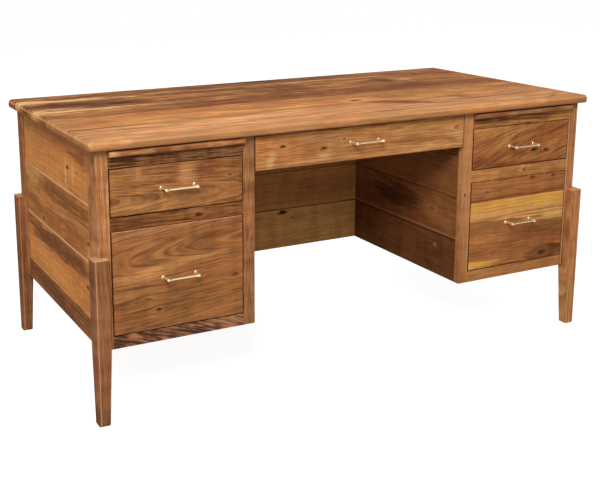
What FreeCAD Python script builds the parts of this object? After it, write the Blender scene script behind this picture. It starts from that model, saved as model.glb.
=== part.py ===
import FreeCAD, Part
import math
import os
import re
import Sketcher
from FreeCAD import Placement, Rotation, Vector

# Executive desk in solid walnut, in millimetres.
# The origin is on the floor, under the middle of the desk's box. +X runs along the desk to the
# right of someone who faces the drawers, +Y runs away from them, and +Z is up.

# Driving sizes
SIZES = {
    # Top
    "desk_length": 1676,
    "desk_depth": 813,
    "desk_height": 775,
    "top_thickness": 25,
    "side_overhang": 22,
    "front_overhang": 22,
    "back_overhang": 24,
    "top_corner_radius": 12,
    "top_upper_round": 11,
    "top_lower_round": 5,
    # Legs
    "case_floor_gap": 206,
    "leg_square": 41,
    "leg_foot_square": 31,
    "leg_proud": 20,
    "leg_top_height": 464,
    "leg_edge_round": 2.5,
    "foot_bevel": 2,
    # Case
    "pedestal_width": 456,
    "post_width": 34,
    "post_depth": 68,
    "post_edge_round": 2,
    "stile_width": 34,
    "frame_thickness": 22,
    "bottom_rail_height": 34,
    "middle_rail_height": 36,
    "board_rail_height": 31,
    "board_slot_height": 21,
    "side_rail_height": 63,
    "panel_thickness": 19,
    "panel_inset": 3,
    "seam_depth": 1.5,
    "modesty_setback": 150,
    "bottom_panel_thickness": 12,
    "bottom_panel_lift": 4,
    "bottom_panel_gap": 0.3,
    # Drawer fronts
    "upper_opening_height": 132,
    "drawer_gap": 2.5,
    "front_thickness": 20,
    "front_edge_round": 1.5,
    "centre_front_height": 101,
    "centre_top_gap": 3,
    "centre_pull_height": 54,
    # Drawer boxes
    "box_wall": 13,
    "box_rear_space": 165,
    "centre_box_rear_space": 128,
    "upper_box_headroom": 22,
    "file_box_headroom": 40,
    "centre_box_headroom": 27,
    "box_lift": 14,
    "centre_box_lift": 8,
    "floor_thickness": 6,
    "floor_lift": 9,
    "groove_depth": 6,
    "groove_gap": 0.2,
    # Drawer slides
    "slide_space": 13,
    "slide_height": 45,
    "slide_wall": 1.2,
    "slide_gap": 0.5,
    "slide_lip": 9.5,
    "slide_middle_offset": 4,
    "slide_setback": 2,
    "slide_end_space": 10,
    "batten_height": 60,
    # Pull-out boards
    "board_thickness": 16.5,
    "board_length": 480,
    "board_nose": 16,
    "board_nose_round": 7,
    "board_side_gap": 1.5,
    "board_under_gap": 0.3,
    "guide_ledge": 12,
    "guide_height": 20,
    # Pulls
    "pull_centres": 96,
    "pull_projection": 34,
    "pull_leg_lean": 3,
    "pull_bar_radius": 2.6,
    "pull_collar_radius": 3.7,
    "pull_collar_length": 10,
    "pull_ball_radius": 4.6,
    "pull_foot_radius": 5.8,
    "pull_foot_thickness": 3,
    "pull_flare_radius": 4.3,
    "pull_neck_radius": 3,
    "screw_radius": 2,
    "screw_hole_gap": 0.3,
    "screw_thread_gap": 0.02,
    "screw_grip": 6.5,
    "screw_head_radius": 4,
    "screw_head_height": 2.4,
    "thread_spare": 1.5,
}

# Sizes that follow from the driving ones
LAYOUT = {
    "case_length": "desk_length - 2 * side_overhang",
    "case_depth": "desk_depth - front_overhang - back_overhang",
    "case_top": "desk_height - top_thickness",
    "case_front": "-(case_depth + back_overhang - pull_projection) / 2",
    "case_back": "case_front + case_depth",
    "half_case": "case_length / 2",
    "opening_width": "pedestal_width - post_width - stile_width",
    "kneehole_width": "case_length - 2 * pedestal_width",
    "board_slot_bottom": "case_top - board_slot_height",
    "upper_opening_top": "board_slot_bottom - board_rail_height",
    "upper_opening_bottom": "upper_opening_top - upper_opening_height",
    "lower_opening_top": "upper_opening_bottom - middle_rail_height",
    "lower_opening_bottom": "case_floor_gap + bottom_rail_height",
    "lower_opening_height": "lower_opening_top - lower_opening_bottom",
    "centre_front_bottom": "case_top - centre_top_gap - centre_front_height",
    "panel_inner_face": "panel_inset + panel_thickness",
    "kneehole_panel_face": "pedestal_width - panel_thickness",
    "opening_edge": "post_width + opening_width",
    "back_panel_front": "case_depth - panel_inset - panel_thickness",
    "modesty_front": "case_depth - modesty_setback - panel_thickness",
    "box_length": "back_panel_front - front_thickness - box_rear_space",
    "centre_box_length": "modesty_front - front_thickness - centre_box_rear_space",
    "upper_box_height": "upper_opening_height - box_lift - upper_box_headroom",
    "file_box_height": "lower_opening_height - box_lift - file_box_headroom",
    "centre_box_height": "centre_front_height - centre_box_lift - centre_box_headroom",
    "slide_start": "frame_thickness + slide_setback",
    "slide_length": "box_length - slide_end_space",
    "centre_slide_length": "centre_box_length - slide_end_space",
    "bar_centre": "pull_projection - pull_ball_radius",
    "bar_right_end": "pull_centres - pull_leg_lean",
    "neck_middle": "(pull_foot_thickness + bar_centre) / 2",
}

# Seams between the boards of a panel, as shares of its height
PANEL_SEAM_SHARES = (1 / 3, 2 / 3)
KNEEHOLE_SEAM_SHARES = (0.255, 0.5, 0.75)

SIDES = ("left", "right")

doc = FreeCAD.newDocument("executive_desk")
nodes = []


# Sheets and expressions

def write_sheet(name, cells, formula):
    sheet = doc.addObject("Spreadsheet::Sheet", name)
    for row, (alias, content) in enumerate(cells.items(), start=1):
        sheet.set(f"A{row}", alias)
        sheet.set(f"B{row}", formula(content))
        sheet.setAlias(f"B{row}", alias)
        doc.recompute()
    return sheet


def full(expression):
    """Puts the sheet's name before each alias in an expression."""
    def with_sheet(match):
        word = match.group(0)
        if word in SIZES:
            return "sizes." + word
        if word in LAYOUT:
            return "layout." + word
        return word
    return re.sub(r"[a-z_]+", with_sheet, expression)


def value(expression):
    return float(layout.evalExpression(full(expression)))


def bind(obj, **expressions):
    for name, expression in expressions.items():
        obj.setExpression(name, full(expression))


def place(obj, x, y, z, turn=None):
    """Places an object by three expressions, after an optional turn."""
    if turn is not None:
        obj.Placement = Placement(Vector(), turn)
    for axis, expression in (("x", x), ("y", y), ("z", z)):
        obj.setExpression("Placement.Base." + axis, full(expression))
    return obj


def in_case_x(side, offset, width):
    """Left edge of something that lies offset inside the case's outer face on one side."""
    if side == "left":
        return f"-half_case + ({offset})"
    return f"half_case - ({offset}) - ({width})"


def in_case_y(offset):
    return f"case_front + ({offset})"


def keep(obj, label):
    """Makes an object one of the desk's named pieces."""
    obj.Label = label
    nodes.append(obj)
    return obj


# Sketches and solids

def origin_plane(body, role):
    for feature in body.Origin.OriginFeatures:
        if feature.Role == role:
            return feature


def new_sketch(body, role, name):
    sketch = body.newObject("Sketcher::SketchObject", name)
    sketch.AttachmentSupport = [(origin_plane(body, role), "")]
    sketch.MapMode = "FlatFace"
    return sketch


def hold_point(sketch, geometry, end, x, y):
    """Ties one point of a sketch to the sketch's origin by two driven distances."""
    for kind, expression in (("DistanceX", x), ("DistanceY", y)):
        size = value(expression)
        number = sketch.addConstraint(Sketcher.Constraint(kind, -1, 1, geometry, end, size))
        sketch.setExpression(f"Constraints[{number}]", full(expression))


def draw_outline(sketch, points):
    """Draws a closed outline through points that are given as pairs of expressions."""
    corners = [Vector(value(x), value(y), 0) for x, y in points]
    count = len(points)
    for index, corner in enumerate(corners):
        sketch.addGeometry(Part.LineSegment(corner, corners[(index + 1) % count]), False)
    for index in range(count):
        following = (index + 1) % count
        sketch.addConstraint(Sketcher.Constraint("Coincident", index, 2, following, 1))
    for index, (x, y) in enumerate(points):
        hold_point(sketch, index, 1, x, y)


def draw_circle(sketch, x, y, radius):
    centre = Vector(value(x), value(y), 0)
    circle = Part.Circle(centre, Vector(0, 0, 1), value(radius))
    index = sketch.addGeometry(circle, False)
    hold_point(sketch, index, 3, x, y)
    number = sketch.addConstraint(Sketcher.Constraint("Radius", index, value(radius)))
    sketch.setExpression(f"Constraints[{number}]", full(radius))


def add_pad(body, sketch, length, backwards=False):
    pad = body.newObject("PartDesign::Pad", "Pad")
    pad.Profile = sketch
    pad.Reversed = backwards
    bind(pad, Length=length)
    return pad


def profile_body(name, role, points, length, backwards=False):
    """A piece of constant section, such as a rail, a panel or a channel."""
    body = doc.addObject("PartDesign::Body", name)
    sketch = new_sketch(body, role, name + "_section")
    draw_outline(sketch, points)
    add_pad(body, sketch, length, backwards)
    return body


def rectangle(width, height):
    return [("0", "0"), (width, "0"), (width, height), ("0", height)]


def board_body(name, x_size, y_size, z_size):
    """A squared board with one corner at its own origin."""
    return profile_body(name, "XY_Plane", rectangle(x_size, y_size), z_size)


def find_edges(feature, test):
    """Names of the edges of a feature whose two ends and middle all pass a test."""
    doc.recompute()
    names = []
    for number, edge in enumerate(feature.Shape.Edges, start=1):
        middle = edge.valueAt((edge.FirstParameter + edge.LastParameter) / 2)
        spots = [vertex.Point for vertex in edge.Vertexes] + [middle]
        if all(test(spot) for spot in spots):
            names.append(f"Edge{number}")
    return names


def near(a, b):
    return math.isclose(a, b, abs_tol=FreeCAD.Base.Precision.confusion())


def round_edges(body, test, radius):
    feature = body.Tip
    names = find_edges(feature, test)
    fillet = body.newObject("PartDesign::Fillet", "Fillet")
    fillet.Base = (feature, names)
    bind(fillet, Radius=radius)
    return fillet


def bevel_edges(body, test, size):
    feature = body.Tip
    names = find_edges(feature, test)
    chamfer = body.newObject("PartDesign::Chamfer", "Chamfer")
    chamfer.Base = (feature, names)
    bind(chamfer, Size=size)
    return chamfer


def group(name, pieces):
    """Several separate solids that share one node."""
    compound = doc.addObject("Part::Compound", name)
    compound.Links = pieces
    return compound


# Top

def make_top():
    body = board_body("top_slab", "desk_length", "desk_depth", "top_thickness")
    length, depth, thickness = value("desk_length"), value("desk_depth"), value("top_thickness")

    def upright(spot):
        return (near(spot.x, 0) or near(spot.x, length)) and (near(spot.y, 0) or near(spot.y, depth))

    round_edges(body, upright, "top_corner_radius")
    round_edges(body, lambda spot: near(spot.z, thickness), "top_upper_round")
    round_edges(body, lambda spot: near(spot.z, 0), "top_lower_round")
    place(body, "-desk_length / 2", "case_front - front_overhang", "case_top")
    return keep(body, "top_slab")


# Legs and corner posts

def make_leg(label, x, y, turn):
    """A leg with its outer corner at its own origin and its inner faces towards +X and +Y."""
    body = doc.addObject("PartDesign::Body", label)
    foot = new_sketch(body, "XY_Plane", "foot")
    draw_outline(foot, rectangle("leg_foot_square", "leg_foot_square"))
    shoulder = new_sketch(body, "XY_Plane", "shoulder")
    bind(shoulder, **{"AttachmentOffset.Base.z": "case_floor_gap"})
    draw_outline(shoulder, rectangle("leg_square", "leg_square"))
    taper = body.newObject("PartDesign::AdditiveLoft", "Taper")
    taper.Profile = foot
    taper.Sections = [shoulder]
    taper.Ruled = True
    doc.recompute()
    notched = new_sketch(body, "XY_Plane", "notched")
    bind(notched, **{"AttachmentOffset.Base.z": "case_floor_gap"})
    draw_outline(notched, [
        ("0", "0"),
        ("leg_square", "0"),
        ("leg_square", "leg_proud"),
        ("leg_proud", "leg_proud"),
        ("leg_proud", "leg_square"),
        ("0", "leg_square"),
    ])
    add_pad(body, notched, "leg_top_height - case_floor_gap")

    top, ease = value("leg_top_height"), value("leg_edge_round")

    def outer_rim(spot):
        return near(spot.z, top) and (spot.x < ease or spot.y < ease)

    round_edges(body, lambda spot: near(spot.x, 0) and near(spot.y, 0), "leg_edge_round")
    round_edges(body, outer_rim, "leg_edge_round")
    bevel_edges(body, lambda spot: near(spot.z, 0), "foot_bevel")
    place(body, x, y, "0", turn)
    return keep(body, label)


def make_legs():
    front, back = "case_front - leg_proud", "case_back + leg_proud"
    left, right = "-half_case - leg_proud", "half_case + leg_proud"
    corners = (
        ("front_left_leg", left, front),
        ("front_right_leg", right, front),
        ("back_right_leg", right, back),
        ("back_left_leg", left, back),
    )
    for quarters, (label, x, y) in enumerate(corners):
        make_leg(label, x, y, Rotation(Vector(0, 0, 1), 90 * quarters))


def make_post(side, end):
    label = f"{end}_{side}_post"
    body = board_body(label, "post_width", "post_depth", "case_top - case_floor_gap")
    outer_x = 0 if side == "left" else value("post_width")
    outer_y = 0 if end == "front" else value("post_depth")
    round_edges(body, lambda spot: near(spot.x, outer_x) and near(spot.y, outer_y), "post_edge_round")
    y = in_case_y("0") if end == "front" else in_case_y("case_depth - post_depth")
    place(body, in_case_x(side, "0", "post_width"), y, "case_floor_gap")
    return keep(body, label)


# Face frame

def make_stile(side):
    label = f"{side}_inner_stile"
    body = board_body(label, "stile_width", "frame_thickness", "case_top - case_floor_gap")
    place(body, in_case_x(side, "opening_edge", "stile_width"), in_case_y("0"), "case_floor_gap")
    return keep(body, label)


def make_rails(side):
    rails = (
        ("bottom_rail", "bottom_rail_height", "case_floor_gap"),
        ("middle_rail", "middle_rail_height", "lower_opening_top"),
        ("board_rail", "board_rail_height", "upper_opening_top"),
    )
    for name, height, z in rails:
        label = f"{side}_{name}"
        body = board_body(label, "opening_width", "frame_thickness", height)
        place(body, in_case_x(side, "post_width", "opening_width"), in_case_y("0"), z)
        keep(body, label)


# Panels

def seamed_outline(thickness, height, seam_shares, show_low):
    """Section of a glued-up panel with a small V groove along each seam of its show face."""
    groove = "seam_depth"
    points = []
    if show_low:
        points += [(thickness, "0"), (thickness, height), ("0", height)]
        for share in reversed(seam_shares):
            middle = f"({height}) * {share}"
            points += [("0", f"{middle} + {groove}"), (groove, middle), ("0", f"{middle} - {groove}")]
        points.append(("0", "0"))
        return points
    points += [("0", height), ("0", "0"), (thickness, "0")]
    for share in seam_shares:
        middle = f"({height}) * {share}"
        inner = f"({thickness}) - {groove}"
        points += [(thickness, f"{middle} - {groove}"), (inner, middle), (thickness, f"{middle} + {groove}")]
    points.append((thickness, height))
    return points


def make_side_panel(side):
    """Wide boards that run front to back between the corner posts, above the side rail."""
    label = f"{side}_side_panel"
    height = "case_top - case_floor_gap - side_rail_height"
    outline = seamed_outline("panel_thickness", height, PANEL_SEAM_SHARES, side == "left")
    body = profile_body(label, "XZ_Plane", outline, "case_depth - 2 * post_depth", backwards=True)
    x = in_case_x(side, "panel_inset", "panel_thickness")
    place(body, x, in_case_y("post_depth"), "case_floor_gap + side_rail_height")
    return keep(body, label)


def make_side_rail(side):
    label = f"{side}_side_rail"
    body = board_body(label, "panel_inner_face", "case_depth - 2 * post_depth", "side_rail_height")
    place(body, in_case_x(side, "0", "panel_inner_face"), in_case_y("post_depth"), "case_floor_gap")
    return keep(body, label)


def make_kneehole_panel(side):
    """Inner side of a pedestal, with its show face towards the kneehole."""
    label = f"{side}_kneehole_panel"
    height = "case_top - case_floor_gap"
    outline = seamed_outline("panel_thickness", height, KNEEHOLE_SEAM_SHARES, side == "right")
    body = profile_body(label, "XZ_Plane", outline, "case_depth - frame_thickness", backwards=True)
    x = in_case_x(side, "kneehole_panel_face", "panel_thickness")
    place(body, x, in_case_y("frame_thickness"), "case_floor_gap")
    return keep(body, label)


def make_cross_panel(label, width, x, y, seam_shares, show_front):
    """A panel across the desk, drawn in its section and run along X."""
    height = "case_top - case_floor_gap"
    outline = seamed_outline("panel_thickness", height, seam_shares, show_front)
    body = profile_body(label, "YZ_Plane", outline, width)
    place(body, x, y, "case_floor_gap")
    return keep(body, label)


def make_back_panel(side):
    width = "kneehole_panel_face - post_width"
    x = in_case_x(side, "post_width", width)
    y = in_case_y("back_panel_front")
    return make_cross_panel(f"{side}_back_panel", width, x, y, PANEL_SEAM_SHARES, False)


def make_modesty_panel():
    x = "-kneehole_width / 2"
    y = in_case_y("modesty_front")
    return make_cross_panel("modesty_panel", "kneehole_width", x, y, KNEEHOLE_SEAM_SHARES, True)


def make_pedestal_bottom(side):
    """Dust floor, notched round the two corner posts."""
    label = f"{side}_pedestal_bottom"
    gap = "bottom_panel_gap"
    width = f"(kneehole_panel_face - panel_inner_face - 2 * {gap})"
    depth = f"(back_panel_front - frame_thickness - 2 * {gap})"
    notch_x = "(post_width - panel_inner_face)"
    notch_front = "(post_depth - frame_thickness)"
    notch_back = f"({depth} + {gap} - (case_depth - post_depth - frame_thickness) + {gap})"
    points = [
        (notch_x, "0"),
        (width, "0"),
        (width, depth),
        (notch_x, depth),
        (notch_x, f"{depth} - {notch_back}"),
        ("0", f"{depth} - {notch_back}"),
        ("0", notch_front),
        (notch_x, notch_front),
    ]
    if side == "right":
        points = [(f"{width} - ({x})", y) for x, y in points]
    body = profile_body(label, "XY_Plane", points, "bottom_panel_thickness")
    x = in_case_x(side, f"panel_inner_face + {gap}", width)
    place(body, x, in_case_y(f"frame_thickness + {gap}"), "case_floor_gap + bottom_panel_lift")
    return keep(body, label)


# Slide battens and board guides

def make_battens():
    """Battens that bring each pedestal wall out to the edge of the drawer opening."""
    pieces = []
    outer_width = "(post_width - panel_inner_face)"
    inner_width = "(kneehole_panel_face - opening_edge)"
    for side in SIDES:
        for level, centre in slide_centres().items():
            z = f"{centre} - batten_height / 2"
            outer = board_body(f"{side}_{level}_outer_batten", outer_width,
                               "case_depth - 2 * post_depth", "batten_height")
            x = in_case_x(side, "panel_inner_face", outer_width)
            place(outer, x, in_case_y("post_depth"), z)
            inner = board_body(f"{side}_{level}_inner_batten", inner_width,
                               "back_panel_front - frame_thickness", "batten_height")
            x = in_case_x(side, "opening_edge", inner_width)
            place(inner, x, in_case_y("frame_thickness"), z)
            pieces += [outer, inner]
    return keep(group("slide_battens", pieces), "slide_battens")


def guide_outline(wall, inward):
    """L section of a runner: a wall up to the top slab and a ledge under the board."""
    ledge = f"({wall} + guide_ledge)"
    rise = "(board_slot_height + guide_height)"
    points = [
        ("0", "0"),
        (ledge, "0"),
        (ledge, "guide_height"),
        (wall, "guide_height"),
        (wall, rise),
        ("0", rise),
    ]
    if inward:
        return points
    return [(f"{ledge} - ({x})", z) for x, z in points]


def make_board_guides():
    pieces = []
    outer_wall = "(post_width - panel_inner_face)"
    inner_wall = "(kneehole_panel_face - opening_edge)"
    z = "board_slot_bottom - guide_height"
    for side in SIDES:
        outline = guide_outline(outer_wall, side == "left")
        outer = profile_body(f"{side}_outer_guide", "XZ_Plane", outline,
                             "case_depth - 2 * post_depth", backwards=True)
        x = in_case_x(side, "panel_inner_face", f"({outer_wall} + guide_ledge)")
        place(outer, x, in_case_y("post_depth"), z)
        outline = guide_outline(inner_wall, side == "right")
        inner = profile_body(f"{side}_inner_guide", "XZ_Plane", outline,
                             "back_panel_front - frame_thickness", backwards=True)
        x = in_case_x(side, "opening_edge - guide_ledge", f"({inner_wall} + guide_ledge)")
        place(inner, x, in_case_y("frame_thickness"), z)
        pieces += [outer, inner]
    return keep(group("board_guides", pieces), "board_guides")


def make_pullout_board(side):
    label = f"{side}_pullout_board"
    width = "(opening_width - 2 * board_side_gap)"
    body = board_body(label, width, "board_length", "board_thickness")
    round_edges(body, lambda spot: near(spot.y, 0) and not upright_edge(spot), "board_nose_round")
    x = in_case_x(side, "post_width + board_side_gap", width)
    place(body, x, in_case_y("-board_nose"), "board_slot_bottom + board_under_gap")
    return keep(body, label)


def upright_edge(spot):
    """True for a spot part of the way up the board's front face."""
    return near(spot.z, value("board_thickness") / 2)


# Slide members

def channel_outline(depth, height, wall, opens_right):
    """Section of a rolled channel, with its web at one end and its lips towards the other."""
    points = [
        ("0", "0"),
        (depth, "0"),
        (depth, wall),
        (wall, wall),
        (wall, f"{height} - {wall}"),
        (depth, f"{height} - {wall}"),
        (depth, height),
        ("0", height),
    ]
    if opens_right:
        return points
    return [(f"{depth} - ({x})", z) for x, z in points]


def slide_centres():
    """Heights of the slides of the pedestal drawers: the middle of each drawer box."""
    return {
        "upper": "(upper_opening_bottom + box_lift + upper_box_height / 2)",
        "lower": "(lower_opening_bottom + box_lift + file_box_height / 2)",
    }


def centre_slide_centre():
    return "(centre_front_bottom + centre_box_lift + centre_box_height / 2)"


def channel(name, wall_x, direction, start, depth, height, length, centre, opens_out):
    """One slide member. It starts at a distance from the wall and lies towards the drawer."""
    depth = f"({depth})"
    opens_right = opens_out == (direction > 0)
    outline = channel_outline(depth, height, "slide_wall", opens_right)
    body = profile_body(name, "XZ_Plane", outline, length, backwards=True)
    x = f"{wall_x} + ({start})" if direction > 0 else f"{wall_x} - ({start}) - {depth}"
    place(body, x, in_case_y("slide_start"), f"{centre} - {height} / 2")
    return body


def pedestal_walls(side):
    """The two faces that carry a pedestal's slides, and the way from each to the drawer."""
    if side == "left":
        return (("-half_case + post_width", 1), ("-half_case + opening_edge", -1))
    return (("half_case - post_width", -1), ("half_case - opening_edge", 1))


def centre_walls():
    return (("-kneehole_width / 2", 1), ("kneehole_width / 2", -1))


def nested_height(step):
    """Height of a member that runs inside the lips of the one before it."""
    return f"(slide_height - {step} * 2 * (slide_wall + slide_gap))"


def make_cabinet_members():
    pieces = []
    for side in SIDES:
        for level, centre in slide_centres().items():
            for number, (wall_x, direction) in enumerate(pedestal_walls(side), start=1):
                name = f"{side}_{level}_cabinet_member_{number}"
                pieces.append(channel(name, wall_x, direction, "0", "slide_lip", nested_height(0),
                                      "slide_length", centre, True))
    for number, (wall_x, direction) in enumerate(centre_walls(), start=1):
        name = f"centre_cabinet_member_{number}"
        pieces.append(channel(name, wall_x, direction, "0", "slide_lip", nested_height(0),
                              "centre_slide_length", centre_slide_centre(), True))
    return keep(group("cabinet_slide_members", pieces), "cabinet_slide_members")


def make_middle_members(side):
    """Middle members of a full extension slide, inside the lips of the cabinet members."""
    pieces = []
    for number, (wall_x, direction) in enumerate(pedestal_walls(side), start=1):
        name = f"{side}_middle_member_{number}"
        pieces.append(channel(name, wall_x, direction, "slide_middle_offset",
                              "slide_space - slide_middle_offset - 2 * slide_wall", nested_height(1),
                              "slide_length", slide_centres()["lower"], True))
    label = f"lower_{side}_slide_middle"
    return keep(group(label, pieces), label)


def make_drawer_members(label, walls, centre, length, step):
    """Members screwed to the drawer's sides. Their lips point back at the wall."""
    pieces = []
    start = f"slide_middle_offset + {step - 1} * (slide_wall + slide_gap)"
    for number, (wall_x, direction) in enumerate(walls, start=1):
        pieces.append(channel(f"{label}_{number}", wall_x, direction, start,
                              f"slide_space - ({start})", nested_height(step), length, centre, False))
    return keep(group(label, pieces), label)


# Drawers

def holes_sketch(body, x_middle, z_middle, radius):
    """Two screw holes at the pull's centres, cut along Y through a front."""
    sketch = new_sketch(body, "XZ_Plane", "screw_holes")
    draw_circle(sketch, f"{x_middle} - pull_centres / 2", z_middle, radius)
    draw_circle(sketch, f"{x_middle} + pull_centres / 2", z_middle, radius)
    return sketch


def cut_through(body, sketch):
    pocket = body.newObject("PartDesign::Pocket", "Pocket")
    pocket.Profile = sketch
    pocket.Type = "ThroughAll"
    return pocket


def make_front(drawer):
    """Flush drawer front with eased edges and two holes for the pull."""
    label = drawer["name"] + "_front"
    width, height = drawer["front_width"], drawer["front_height"]
    body = profile_body(label, "XZ_Plane", rectangle(width, height), "front_thickness", backwards=True)
    round_edges(body, lambda spot: near(spot.y, 0), "front_edge_round")
    radius = "(screw_radius + screw_hole_gap)"
    cut_through(body, holes_sketch(body, f"{width} / 2", drawer["pull_height"], radius))
    place(body, drawer["front_x"], in_case_y("0"), drawer["front_z"])
    return keep(body, label)


def wall_outline(thickness, height, groove_right):
    """Section of a drawer side or front, with the groove for the drawer's floor."""
    low = "(floor_lift - groove_gap)"
    high = "(floor_lift + floor_thickness + groove_gap)"
    depth = f"({thickness} - groove_depth)"
    points = [
        ("0", "0"),
        (thickness, "0"),
        (thickness, low),
        (depth, low),
        (depth, high),
        (thickness, high),
        (thickness, height),
        ("0", height),
    ]
    if groove_right:
        return points
    return [(f"{thickness} - ({x})", z) for x, z in points]


def make_box(drawer):
    """Two sides, an inner front with the screw holes, and a back that stands on the floor."""
    label = drawer["name"] + "_box"
    height, length = drawer["box_height"], drawer["box_length"]
    x, z, width = drawer["box_x"], drawer["box_z"], drawer["box_width"]
    y = in_case_y("front_thickness")

    left = profile_body(label + "_left_side", "XZ_Plane", wall_outline("box_wall", height, True),
                        length, backwards=True)
    place(left, x, y, z)
    right = profile_body(label + "_right_side", "XZ_Plane", wall_outline("box_wall", height, False),
                         length, backwards=True)
    place(right, f"{x} + {width} - box_wall", y, z)

    inner_width = f"({width} - 2 * box_wall)"
    inner_front = profile_body(label + "_inner_front", "YZ_Plane",
                               wall_outline("box_wall", height, True), inner_width)
    radius = "(screw_radius + screw_hole_gap)"
    hole_height = f"({drawer['front_z']} + {drawer['pull_height']} - ({z}))"
    cut_through(inner_front, holes_sketch(inner_front, f"{inner_width} / 2", hole_height, radius))
    place(inner_front, f"{x} + box_wall", y, z)

    floor_top = "(floor_lift + floor_thickness + groove_gap)"
    back = board_body(label + "_back", inner_width, "box_wall", f"{height} - {floor_top}")
    place(back, f"{x} + box_wall", f"{y} + {length} - box_wall", f"{z} + {floor_top}")
    return keep(group(label, [left, right, inner_front, back]), label)


def make_floor(drawer):
    """Floor held in the grooves of the sides and the inner front, under the back."""
    label = drawer["name"] + "_floor"
    reach = "(groove_depth - groove_gap)"
    width = f"{drawer['box_width']} - 2 * (box_wall - {reach})"
    body = board_body(label, width, f"{drawer['box_length']} - (box_wall - {reach})", "floor_thickness")
    x = f"{drawer['box_x']} + box_wall - {reach}"
    y = in_case_y(f"front_thickness + box_wall - {reach}")
    place(body, x, y, f"{drawer['box_z']} + floor_lift")
    return keep(body, label)


def add_turned(body, role, name, points, axis, offset="0"):
    """Turns a half section about one axis of its sketch, which may stand off its plane's origin."""
    profile = new_sketch(body, role, name)
    bind(profile, **{"AttachmentOffset.Base.y": offset})
    draw_outline(profile, points)
    turned = body.newObject("PartDesign::Revolution", "Turned")
    turned.Profile = profile
    turned.ReferenceAxis = (profile, [axis])
    return profile


def add_neck(body, foot_x, bar_x):
    """A pull's waisted neck, which leans from its foot to a ball at the end of the bar."""
    rings = []
    for x, height, radius in (
        (foot_x, "pull_foot_thickness", "pull_flare_radius"),
        (f"({foot_x} + {bar_x}) / 2", "neck_middle", "pull_neck_radius"),
        (bar_x, "bar_centre", "pull_collar_radius"),
    ):
        ring = new_sketch(body, "XZ_Plane", "neck_ring")
        bind(ring, **{"AttachmentOffset.Base.z": height})
        draw_circle(ring, x, "0", radius)
        rings.append(ring)
    neck = body.newObject("PartDesign::AdditiveLoft", "Neck")
    neck.Profile = rings[0]
    neck.Sections = rings[1:]
    ball = body.newObject("PartDesign::AdditiveSphere", "Ball")
    bind(ball, Radius="pull_ball_radius")
    bind(ball, **{"Placement.Base.x": bar_x, "Placement.Base.y": "-bar_centre"})
    doc.recompute()


def make_pull(drawer):
    """Bar pull and its two screws. The pull's origin is on the front, at its left foot."""
    label = drawer["name"] + "_pull"
    body = doc.addObject("PartDesign::Body", label + "_handle")
    foot = add_turned(body, "XY_Plane", "foot_profile", [
        ("0", "0"),
        ("pull_foot_radius", "0"),
        ("pull_foot_radius", "-pull_foot_thickness / 2"),
        ("pull_flare_radius", "-pull_foot_thickness"),
        ("0", "-pull_foot_thickness"),
    ], "V_Axis")
    doc.recompute()
    feet = body.newObject("PartDesign::LinearPattern", "Feet")
    feet.Originals = [body.Tip]
    feet.Direction = (foot, ["H_Axis"])
    bind(feet, Length="pull_centres")
    feet.Occurrences = 2
    body.Tip = feet
    add_neck(body, "0", "pull_leg_lean")
    add_neck(body, "pull_centres", "bar_right_end")
    add_turned(body, "XY_Plane", "bar_profile", [
        ("pull_leg_lean", "0"),
        ("pull_leg_lean", "pull_collar_radius"),
        ("pull_leg_lean + pull_collar_length", "pull_bar_radius"),
        ("bar_right_end - pull_collar_length", "pull_bar_radius"),
        ("bar_right_end", "pull_collar_radius"),
        ("bar_right_end", "0"),
    ], "H_Axis", "-bar_centre")
    holes = new_sketch(body, "XZ_Plane", "threads")
    for x in ("0", "pull_centres"):
        draw_circle(holes, x, "0", "screw_radius + screw_thread_gap")
    thread = body.newObject("PartDesign::Pocket", "Thread")
    thread.Profile = holes
    thread.Reversed = True
    bind(thread, Length="screw_grip + thread_spare")
    x = f"{drawer['front_x']} + {drawer['front_width']} / 2 - pull_centres / 2"
    z = f"{drawer['front_z']} + {drawer['pull_height']}"
    place(body, x, in_case_y("0"), z)

    pieces = [body]
    for number, offset in ((1, "0"), (2, "pull_centres")):
        screw = make_screw(f"{label}_screw_{number}")
        place(screw, f"{x} + {offset}", in_case_y("-screw_grip"), z, Rotation(Vector(1, 0, 0), -90))
        pieces.append(screw)
    return keep(group(label, pieces), label)


def make_screw(name):
    """A machine screw along +Z from its point, with its head at the far end."""
    shank_length = "(screw_grip + front_thickness + box_wall)"
    body = doc.addObject("PartDesign::Body", name)
    sketch = new_sketch(body, "XZ_Plane", "screw_profile")
    draw_outline(sketch, [
        ("0", "0"),
        ("screw_radius", "0"),
        ("screw_radius", shank_length),
        ("screw_head_radius", shank_length),
        ("screw_head_radius", f"{shank_length} + screw_head_height / 2"),
        ("screw_radius", f"{shank_length} + screw_head_height"),
        ("0", f"{shank_length} + screw_head_height"),
    ])
    turned = body.newObject("PartDesign::Revolution", "Turned")
    turned.Profile = sketch
    turned.ReferenceAxis = (sketch, ["V_Axis"])
    return body


def pedestal_drawer(side, level):
    opening_x = in_case_x(side, "post_width", "opening_width")
    height = f"({level}_opening_height - 2 * drawer_gap)"
    box_height = "upper_box_height" if level == "upper" else "file_box_height"
    return {
        "name": f"{level}_{side}_drawer",
        "front_x": f"({opening_x} + drawer_gap)",
        "front_z": f"({level}_opening_bottom + drawer_gap)",
        "front_width": "(opening_width - 2 * drawer_gap)",
        "front_height": height,
        "pull_height": f"({height} / 2)",
        "box_x": f"({opening_x} + slide_space)",
        "box_z": f"({level}_opening_bottom + box_lift)",
        "box_width": "(opening_width - 2 * slide_space)",
        "box_height": box_height,
        "box_length": "box_length",
        "walls": pedestal_walls(side),
        "slide_centre": slide_centres()[level],
        "slide_length": "slide_length",
        "slide_step": 1 if level == "upper" else 2,
    }


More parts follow.
